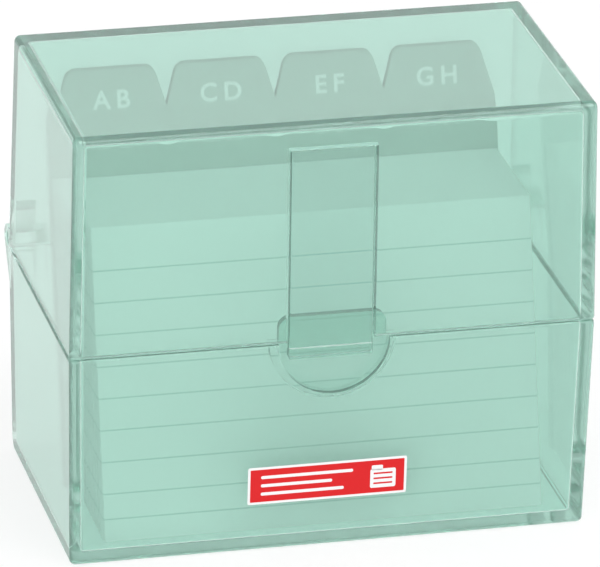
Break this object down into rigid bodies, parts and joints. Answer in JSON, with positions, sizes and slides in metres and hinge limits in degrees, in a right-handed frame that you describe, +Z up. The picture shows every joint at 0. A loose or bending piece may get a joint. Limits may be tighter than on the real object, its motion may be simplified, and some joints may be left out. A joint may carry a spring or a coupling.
{
  "type": "card index box",
  "caption": "Free-standing clear plastic card index box with a hinged lid, a flexible latch tongue, leaning ruled cards and tabbed index dividers.",
  "frame": {"origin": "centre of the flat underside that the box stands on, under the middle of the box at the seam", "axes": "+X along the width towards the right end seen from the front, +Y from the front (latch side) to the rear (hinge side), +Z up"},
  "size_m": [0.088, 0.055, 0.075],
  "materials": {
    "clear_plastic": "glossy translucent mint polystyrene",
    "label": "printed red film with a white border",
    "card_stock": "matt white card with faint blue-grey ruling",
    "divider_sheet": "satin green polypropylene sheet with pale index letters"
  },
  "bodies": {
    "tray": {"base_tray": "clear_plastic", "front_label": "label"},
    "lid": {"lid_cover": "clear_plastic"},
    "latch": {"latch_tongue": "clear_plastic"},
    "pack_01": {"cards_01": "card_stock"},
    "pack_02": {"cards_02": "card_stock"},
    "pack_03": {"cards_03": "card_stock"},
    "pack_04": {"cards_04": "card_stock"},
    "pack_05": {"cards_05": "card_stock"},
    "pack_06": {"cards_06": "card_stock"},
    "pack_07": {"cards_07": "card_stock"},
    "pack_08": {"cards_08": "card_stock"},
    "pack_09": {"cards_09": "card_stock"},
    "pack_10": {"cards_10": "card_stock"},
    "index_01": {"divider_01": "divider_sheet"},
    "index_02": {"divider_02": "divider_sheet"},
    "index_03": {"divider_03": "divider_sheet"},
    "index_04": {"divider_04": "divider_sheet"},
    "index_05": {"divider_05": "divider_sheet"},
    "index_06": {"divider_06": "divider_sheet"},
    "index_07": {"divider_07": "divider_sheet"},
    "index_08": {"divider_08": "divider_sheet"},
    "index_09": {"divider_09": "divider_sheet"},
    "index_10": {"divider_10": "divider_sheet"},
    "index_11": {"divider_11": "divider_sheet"},
    "index_12": {"divider_12": "divider_sheet"}
  },
  "joints": [
    {"name": "lid_hinge", "type": "hinge", "parent": "tray", "child": "lid", "pos_m": [0, 0.0276, 0.037], "axis": [-1, 0, 0], "range_deg": [0, 110]},
    {"name": "latch_flex", "type": "hinge", "parent": "lid", "child": "latch", "pos_m": [-0.0006, -0.0241, 0.0704], "axis": [-1, 0, 0], "range_deg": [0, 8], "stiffness_Nm_per_rad": 0.02},
    {"name": "pack_01_tilt", "type": "hinge", "parent": "tray", "child": "pack_01", "pos_m": [0.0003, -0.0191, 0.00188], "axis": [1, 0, 0], "range_deg": [0, 14]},
    {"name": "pack_02_tilt", "type": "hinge", "parent": "tray", "child": "pack_02", "pos_m": [0.0003, -0.01698, 0.00188], "axis": [1, 0, 0], "range_deg": [0, 13.24]},
    {"name": "pack_03_tilt", "type": "hinge", "parent": "tray", "child": "pack_03", "pos_m": [0.0003, -0.01486, 0.00188], "axis": [1, 0, 0], "range_deg": [0, 12.47]},
    {"name": "pack_04_tilt", "type": "hinge", "parent": "tray", "child": "pack_04", "pos_m": [0.0003, -0.01273, 0.00188], "axis": [1, 0, 0], "range_deg": [0, 11.7]},
    {"name": "pack_05_tilt", "type": "hinge", "parent": "tray", "child": "pack_05", "pos_m": [0.0003, -0.01061, 0.00188], "axis": [1, 0, 0], "range_deg": [0, 10.93]},
    {"name": "pack_06_tilt", "type": "hinge", "parent": "tray", "child": "pack_06", "pos_m": [0.0003, -0.00849, 0.00188], "axis": [1, 0, 0], "range_deg": [0, 10.16]},
    {"name": "pack_07_tilt", "type": "hinge", "parent": "tray", "child": "pack_07", "pos_m": [0.0003, -0.00637, 0.00188], "axis": [1, 0, 0], "range_deg": [0, 9.39]},
    {"name": "pack_08_tilt", "type": "hinge", "parent": "tray", "child": "pack_08", "pos_m": [0.0003, -0.00424, 0.00188], "axis": [1, 0, 0], "range_deg": [0, 8.62]},
    {"name": "pack_09_tilt", "type": "hinge", "parent": "tray", "child": "pack_09", "pos_m": [0.0003, -0.00212, 0.00188], "axis": [1, 0, 0], "range_deg": [0, 7.85]},
    {"name": "pack_10_tilt", "type": "hinge", "parent": "tray", "child": "pack_10", "pos_m": [0.0003, 0, 0.00188], "axis": [1, 0, 0], "range_deg": [0, 7.08]},
    {"name": "index_01_tilt", "type": "hinge", "parent": "tray", "child": "index_01", "pos_m": [0.0003, 0.00222, 0.00188], "axis": [1, 0, 0], "range_deg": [0, 4.21]},
    {"name": "index_02_tilt", "type": "hinge", "parent": "tray", "child": "index_02", "pos_m": [0.0003, 0.00237, 0.00188], "axis": [1, 0, 0], "range_deg": [0, 3.93]},
    {"name": "index_03_tilt", "type": "hinge", "parent": "tray", "child": "index_03", "pos_m": [0.0003, 0.00252, 0.00188], "axis": [1, 0, 0], "range_deg": [0, 3.65]},
    {"name": "index_04_tilt", "type": "hinge", "parent": "tray", "child": "index_04", "pos_m": [0.0003, 0.00267, 0.00188], "axis": [1, 0, 0], "range_deg": [0, 3.37]},
    {"name": "index_05_tilt", "type": "hinge", "parent": "tray", "child": "index_05", "pos_m": [0.0003, 0.00282, 0.00188], "axis": [1, 0, 0], "range_deg": [0, 3.09]},
    {"name": "index_06_tilt", "type": "hinge", "parent": "tray", "child": "index_06", "pos_m": [0.0003, 0.00297, 0.00188], "axis": [1, 0, 0], "range_deg": [0, 2.81]},
    {"name": "index_07_tilt", "type": "hinge", "parent": "tray", "child": "index_07", "pos_m": [0.0003, 0.00312, 0.00188], "axis": [1, 0, 0], "range_deg": [0, 2.53]},
    {"name": "index_08_tilt", "type": "hinge", "parent": "tray", "child": "index_08", "pos_m": [0.0003, 0.00327, 0.00188], "axis": [1, 0, 0], "range_deg": [0, 2.25]},
    {"name": "index_09_tilt", "type": "hinge", "parent": "tray", "child": "index_09", "pos_m": [0.0003, 0.00342, 0.00188], "axis": [1, 0, 0], "range_deg": [0, 1.97]},
    {"name": "index_10_tilt", "type": "hinge", "parent": "tray", "child": "index_10", "pos_m": [0.0003, 0.00357, 0.00188], "axis": [1, 0, 0], "range_deg": [0, 1.69]},
    {"name": "index_11_tilt", "type": "hinge", "parent": "tray", "child": "index_11", "pos_m": [0.0003, 0.00372, 0.00188], "axis": [1, 0, 0], "range_deg": [0, 1.41]},
    {"name": "index_12_tilt", "type": "hinge", "parent": "tray", "child": "index_12", "pos_m": [0.0003, 0.00387, 0.00188], "axis": [1, 0, 0], "range_deg": [0, 1.13]}
  ],
  "couplings": [
    {"joint": "pack_02_tilt", "follows": "pack_01_tilt", "ratio": 0.945},
    {"joint": "pack_03_tilt", "follows": "pack_01_tilt", "ratio": 0.89},
    {"joint": "pack_04_tilt", "follows": "pack_01_tilt", "ratio": 0.835},
    {"joint": "pack_05_tilt", "follows": "pack_01_tilt", "ratio": 0.78},
    {"joint": "pack_06_tilt", "follows": "pack_01_tilt", "ratio": 0.725},
    {"joint": "pack_07_tilt", "follows": "pack_01_tilt", "ratio": 0.67},
    {"joint": "pack_08_tilt", "follows": "pack_01_tilt", "ratio": 0.615},
    {"joint": "pack_09_tilt", "follows": "pack_01_tilt", "ratio": 0.56},
    {"joint": "pack_10_tilt", "follows": "pack_01_tilt", "ratio": 0.505},
    {"joint": "index_01_tilt", "follows": "pack_01_tilt", "ratio": 0.3},
    {"joint": "index_02_tilt", "follows": "pack_01_tilt", "ratio": 0.28},
    {"joint": "index_03_tilt", "follows": "pack_01_tilt", "ratio": 0.26},
    {"joint": "index_04_tilt", "follows": "pack_01_tilt", "ratio": 0.24},
    {"joint": "index_05_tilt", "follows": "pack_01_tilt", "ratio": 0.22},
    {"joint": "index_06_tilt", "follows": "pack_01_tilt", "ratio": 0.2},
    {"joint": "index_07_tilt", "follows": "pack_01_tilt", "ratio": 0.18},
    {"joint": "index_08_tilt", "follows": "pack_01_tilt", "ratio": 0.16},
    {"joint": "index_09_tilt", "follows": "pack_01_tilt", "ratio": 0.14},
    {"joint": "index_10_tilt", "follows": "pack_01_tilt", "ratio": 0.12},
    {"joint": "index_11_tilt", "follows": "pack_01_tilt", "ratio": 0.1},
    {"joint": "index_12_tilt", "follows": "pack_01_tilt", "ratio": 0.08}
  ]
}
